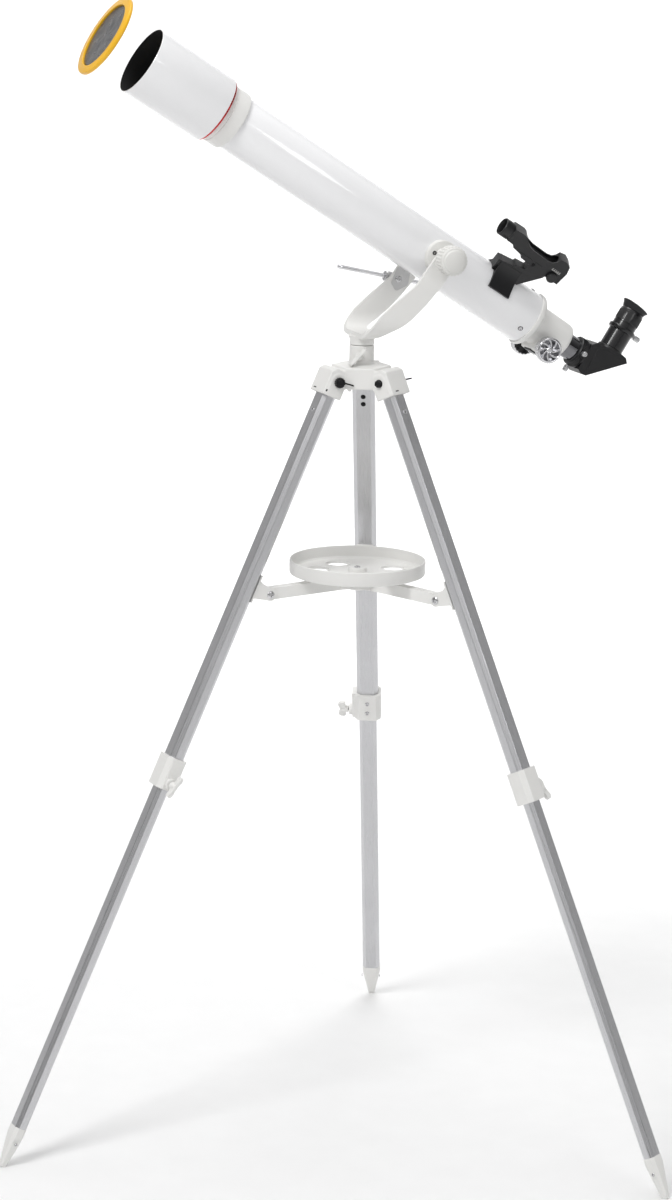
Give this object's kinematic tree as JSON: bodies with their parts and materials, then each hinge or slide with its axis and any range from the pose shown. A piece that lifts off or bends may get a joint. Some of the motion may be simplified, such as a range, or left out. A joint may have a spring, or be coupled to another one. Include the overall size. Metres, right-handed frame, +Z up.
{
  "type": "telescope on tripod",
  "caption": "Small refracting telescope on a fork mount and folding three-legged stand, with diagonal, erecting lens, finder, tray and front solar filter.",
  "frame": {"origin": "on the floor, at the middle of the footprint of the three feet", "axes": "+Z up; the rear leg points along +Y; the tube points towards -X and -Y, and up"},
  "size_m": [0.9132, 0.7923, 1.5713],
  "materials": {
    "white_gloss": "gloss white paint",
    "off_white": "satin off-white moulding",
    "black_plastic": "satin black moulding",
    "leg_metal": "satin anodised, brushed lengthwise",
    "chrome": "polished",
    "red_trim": "metallic red",
    "steel": "bright machined",
    "glass": "coated lens glass",
    "mirror": "front-silvered",
    "rubber": "matt rubber",
    "yellow_plastic": "yellow-orange moulding",
    "solar_film": "metallised film",
    "black_steel": "black oxide"
  },
  "bodies": {
    "stand": {"tripod_hub": "off_white", "leg_pivot_bolts": "black_steel", "leg_wing_nuts": "black_steel"},
    "azimuth_lock": {"azimuth_lock_knob": "off_white"},
    "spreader": {"spreader_hub": "off_white", "accessory_tray": "off_white"},
    "fork": {"fork_mount": "off_white", "azimuth_bolt": "steel"},
    "altitude_knob_left": {"altitude_knob_left": "off_white"},
    "altitude_knob_right": {"altitude_knob_right": "off_white"},
    "rod_clamp": {"rod_clamp": "steel"},
    "rod": {"slow_motion_rod": "chrome"},
    "tube": {"main_tube": "white_gloss", "objective_cell": "off_white", "objective_lens": "glass", "accent_ring": "red_trim", "dew_shield": "white_gloss", "focuser_housing": "off_white", "tube_screws": "steel", "side_discs": "off_white", "rod_bracket": "steel", "finder_saddle": "black_plastic", "finder_body": "black_plastic"},
    "finder_dial": {"finder_dial": "black_plastic"},
    "filter": {"solar_filter_frame": "yellow_plastic", "solar_film": "solar_film"},
    "drawtube": {"drawtube": "chrome"},
    "focus_drive": {"focus_pinion": "steel", "focus_knob_left": "chrome", "focus_knob_right": "chrome"},
    "focus_lock": {"focus_lock_screw": "black_steel"},
    "diagonal": {"diagonal_body": "black_plastic", "diagonal_mirror": "mirror"},
    "collar_screw_side": {"collar_screw_side": "steel"},
    "collar_screw_lower": {"collar_screw_lower": "steel"},
    "erector": {"erecting_lens": "black_plastic"},
    "erector_screw": {"erecting_lens_screw": "steel"},
    "eyepiece": {"eyepiece": "black_plastic", "eyecup": "rubber"},
    "leg_rear": {"upper_leg_rear": "leg_metal", "leg_clamp_rear": "off_white", "leg_bracket_rear": "off_white"},
    "lower_leg_rear": {"lower_leg_rear": "leg_metal", "foot_rear": "off_white"},
    "clamp_knob_rear": {"clamp_knob_rear": "off_white"},
    "arm_rear": {"spreader_arm_rear": "off_white"},
    "leg_left": {"upper_leg_left": "leg_metal", "leg_clamp_left": "off_white", "leg_bracket_left": "off_white"},
    "lower_leg_left": {"lower_leg_left": "leg_metal", "foot_left": "off_white"},
    "clamp_knob_left": {"clamp_knob_left": "off_white"},
    "arm_left": {"spreader_arm_left": "off_white"},
    "leg_right": {"upper_leg_right": "leg_metal", "leg_clamp_right": "off_white", "leg_bracket_right": "off_white"},
    "lower_leg_right": {"lower_leg_right": "leg_metal", "foot_right": "off_white"},
    "clamp_knob_right": {"clamp_knob_right": "off_white"},
    "arm_right": {"spreader_arm_right": "off_white"}
  },
  "joints": [
    {"name": "leg_fold_rear", "type": "hinge", "parent": "stand", "child": "leg_rear", "pos_m": [0, -0.08637, 1.06], "axis": [-1, 0, 0], "range_deg": [0, 3.4]},
    {"name": "leg_extension_rear", "type": "slide", "parent": "leg_rear", "child": "lower_leg_rear", "axis": [0, -0.4107, 0.9118], "range_m": [0, 0.48]},
    {"name": "clamp_knob_turn_rear", "type": "hinge", "parent": "leg_rear", "child": "clamp_knob_rear", "pos_m": [-0.03, 0.15595, 0.52206], "axis": [-1, 0, 0], "range_deg": [0, 360]},
    {"name": "arm_fold_rear", "type": "hinge", "parent": "spreader", "child": "arm_rear", "pos_m": [0, -0.10837, 0.7772], "axis": [-1, 0, 0], "range_deg": [0, 32.99]},
    {"name": "leg_fold_left", "type": "hinge", "parent": "stand", "child": "leg_left", "pos_m": [-0.0381, -0.15237, 1.06], "axis": [0.5, -0.866, 0], "range_deg": [0, 3.5]},
    {"name": "leg_extension_left", "type": "slide", "parent": "leg_left", "child": "lower_leg_left", "axis": [0.3557, 0.2054, 0.9118], "range_m": [0, 0.48]},
    {"name": "clamp_knob_turn_left", "type": "hinge", "parent": "leg_left", "child": "clamp_knob_left", "pos_m": [-0.23296, -0.29952, 0.52206], "axis": [0.5, -0.866, 0], "range_deg": [0, 360]},
    {"name": "arm_fold_left", "type": "hinge", "parent": "spreader", "child": "arm_left", "pos_m": [-0.01905, -0.14137, 0.7772], "axis": [0.5, -0.866, 0], "range_deg": [0, 32.99]},
    {"name": "leg_fold_right", "type": "hinge", "parent": "stand", "child": "leg_right", "pos_m": [0.0381, -0.15237, 1.06], "axis": [0.5, 0.866, 0], "range_deg": [0, 3.5]},
    {"name": "leg_extension_right", "type": "slide", "parent": "leg_right", "child": "lower_leg_right", "axis": [-0.3557, 0.2054, 0.9118], "range_m": [0, 0.48]},
    {"name": "clamp_knob_turn_right", "type": "hinge", "parent": "leg_right", "child": "clamp_knob_right", "pos_m": [0.26296, -0.24755, 0.52206], "axis": [0.5, 0.866, 0], "range_deg": [0, 360]},
    {"name": "arm_fold_right", "type": "hinge", "parent": "spreader", "child": "arm_right", "pos_m": [0.01905, -0.14137, 0.7772], "axis": [0.5, 0.866, 0], "range_deg": [0, 32.99]},
    {"name": "spreader_rise", "type": "slide", "parent": "stand", "child": "spreader", "axis": [0, 0, 1], "range_m": [0, 0.0561]},
    {"name": "azimuth_lock_turn", "type": "hinge", "parent": "stand", "child": "azimuth_lock", "pos_m": [-0.00305, -0.15519, 1.093], "axis": [-0.1219, -0.9925, 0], "range_deg": [0, 360]},
    {"name": "azimuth_turn", "type": "hinge", "parent": "stand", "child": "fork", "pos_m": [0, -0.13037, 1.09], "axis": [0, 0, 1], "continuous": true},
    {"name": "altitude_tilt", "type": "hinge", "parent": "fork", "child": "tube", "pos_m": [0.08972, -0.08758, 1.2267], "axis": [-0.4305, 0.9026, 0], "range_deg": [-35, 22]},
    {"name": "altitude_knob_turn_left", "type": "hinge", "parent": "fork", "child": "altitude_knob_left", "pos_m": [0.1177, -0.14625, 1.2267], "axis": [0.4305, -0.9026, 0], "range_deg": [0, 360]},
    {"name": "altitude_knob_turn_right", "type": "hinge", "parent": "fork", "child": "altitude_knob_right", "pos_m": [0.06173, -0.02891, 1.2267], "axis": [-0.4305, 0.9026, 0], "range_deg": [0, 360]},
    {"name": "rod_clamp_swivel", "type": "hinge", "parent": "fork", "child": "rod_clamp", "pos_m": [0.03729, -0.04722, 1.18885], "axis": [-0.4305, 0.9026, 0], "range_deg": [-18, 11.5]},
    {"name": "rod_pivot", "type": "hinge", "parent": "tube", "child": "rod", "pos_m": [0.07481, -0.02932, 1.17988], "axis": [-0.4305, 0.9026, 0], "range_deg": [-11.5, 18]},
    {"name": "solar_filter_slide", "type": "slide", "parent": "tube", "child": "filter", "axis": [-0.7621, -0.3635, 0.5358], "range_m": [-0.054, 0.06]},
    {"name": "focus_travel", "type": "slide", "parent": "tube", "child": "drawtube", "axis": [0.7621, 0.3635, -0.5358], "range_m": [-0.015, 0.055]},
    {"name": "focus_knob_turn", "type": "hinge", "parent": "tube", "child": "focus_drive", "pos_m": [0.23414, -0.01869, 1.09625], "axis": [-0.4305, 0.9026, 0], "range_deg": [-175, 635]},
    {"name": "focus_lock_turn", "type": "hinge", "parent": "tube", "child": "focus_lock", "pos_m": [0.24896, -0.01162, 1.0792], "axis": [-0.4836, -0.2307, -0.8443], "range_deg": [0, 360]},
    {"name": "diagonal_turn", "type": "hinge", "parent": "drawtube", "child": "diagonal", "pos_m": [0.29395, 0.00983, 1.0831], "axis": [-0.7621, -0.3635, 0.5358], "continuous": true},
    {"name": "collar_screw_turn_side", "type": "hinge", "parent": "drawtube", "child": "collar_screw_side", "pos_m": [0.30014, -0.01491, 1.08631], "axis": [0.4305, -0.9026, 0], "range_deg": [0, 360]},
    {"name": "collar_screw_turn_lower", "type": "hinge", "parent": "drawtube", "child": "collar_screw_lower", "pos_m": [0.27729, 0.00189, 1.0652], "axis": [-0.4836, -0.2307, -0.8443], "range_deg": [0, 360]},
    {"name": "erecting_lens_lift", "type": "slide", "parent": "diagonal", "child": "erector", "axis": [0.4836, 0.2307, 0.8443], "range_m": [0, 0.03]},
    {"name": "erecting_screw_turn", "type": "hinge", "parent": "erector", "child": "erector_screw", "pos_m": [0.37156, 0.04685, 1.10101], "axis": [0.7621, 0.3635, -0.5358], "range_deg": [0, 360]},
    {"name": "eyepiece_lift", "type": "slide", "parent": "erector", "child": "eyepiece", "axis": [0.4836, 0.2307, 0.8443], "range_m": [0, 0.04]},
    {"name": "finder_dial_turn", "type": "hinge", "parent": "tube", "child": "finder_dial", "pos_m": [0.25329, -0.06509, 1.19652], "axis": [0.131, -0.897, -0.4222], "range_deg": [0, 270]}
  ],
  "couplings": [
    {"joint": "arm_fold_rear", "follows": "leg_fold_rear", "ratio": 9.557},
    {"joint": "leg_fold_left", "follows": "leg_fold_rear", "ratio": 1},
    {"joint": "arm_fold_left", "follows": "leg_fold_rear", "ratio": 9.557},
    {"joint": "leg_fold_right", "follows": "leg_fold_rear", "ratio": 1},
    {"joint": "arm_fold_right", "follows": "leg_fold_rear", "ratio": 9.557},
    {"joint": "spreader_rise", "follows": "leg_fold_rear", "m_per_rad": 0.9369},
    {"joint": "rod_clamp_swivel", "follows": "altitude_tilt", "ratio": 0.5},
    {"joint": "rod_pivot", "follows": "altitude_tilt", "ratio": -0.5},
    {"joint": "focus_knob_turn", "follows": "focus_travel", "rad_per_m": 200}
  ]
}
